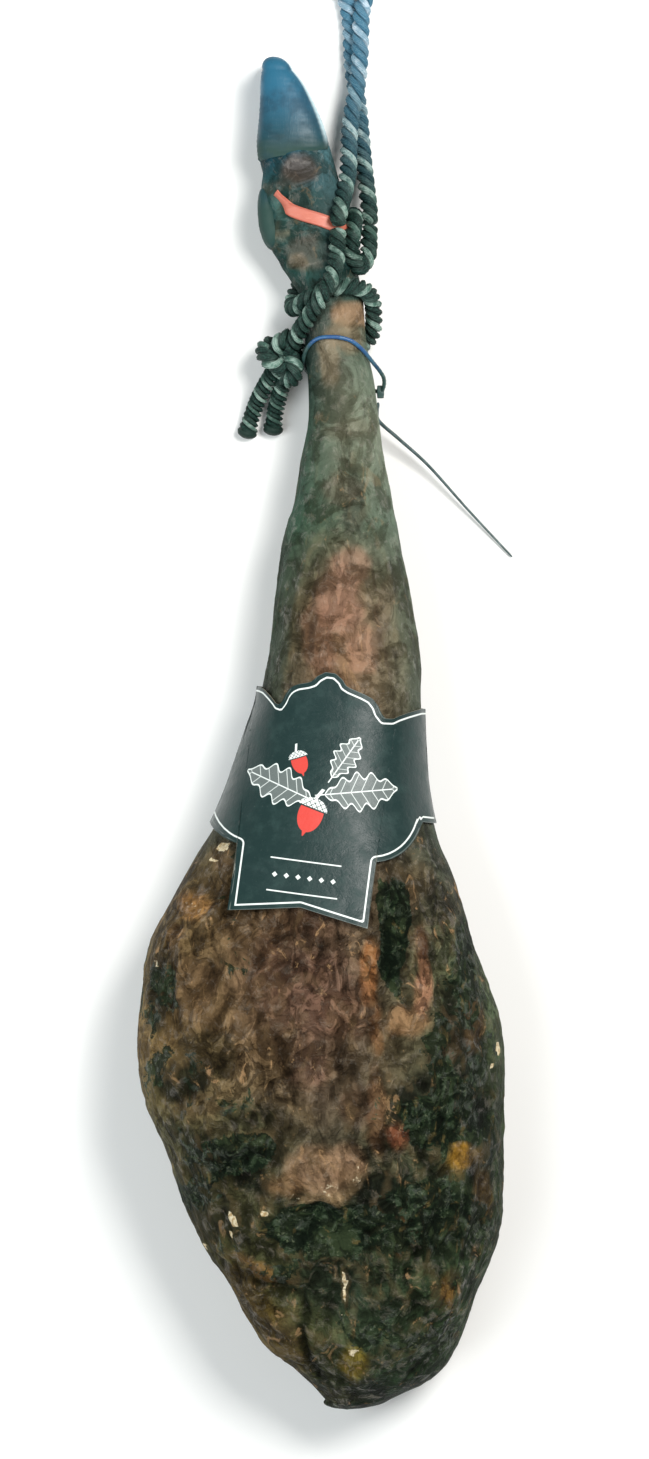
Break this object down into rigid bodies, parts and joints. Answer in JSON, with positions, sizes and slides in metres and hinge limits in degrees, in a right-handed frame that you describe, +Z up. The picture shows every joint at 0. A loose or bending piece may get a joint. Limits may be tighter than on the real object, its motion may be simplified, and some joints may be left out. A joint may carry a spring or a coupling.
{
  "type": "cured ham",
  "caption": "Whole cured ham on the bone with its black hoof, lying on its rind, with a plain card label round the leg, a red seal strap, a thin tie and a hanging rope.",
  "frame": {"origin": "on the surface that the ham lies on, under the middle of the box round the ham and what is fixed on it, without the rope and the tie's free end", "axes": "+Y along the leg towards the hoof, +Z up from the surface out of the cut inner face, +X to the right when it is seen from above with the hoof away"},
  "size_m": [0.2359, 0.9386, 0.141],
  "materials": {
    "ham": "dried flesh and fat with grey-green mould",
    "horn": "dark horn, semi-gloss",
    "card": "black coated card with a thin pale border line",
    "seal": "orange-red moulded plastic",
    "tie": "blue to black plastic",
    "rope": "dark green twisted rope with pale yarns"
  },
  "bodies": {
    "root": {"ham": "ham", "claw_upper": "horn", "claw_lower": "horn", "dewclaw_upper": "horn", "dewclaw_lower": "horn", "label": "card", "seal_strap": "seal", "tie_band": "tie", "tie_tail": "tie", "rope_loop": "rope", "rope_front": "rope", "rope_turn": "rope", "rope_tail_left": "rope", "rope_tail_right": "rope", "rope_knot": "rope"}
  },
  "joints": []
}
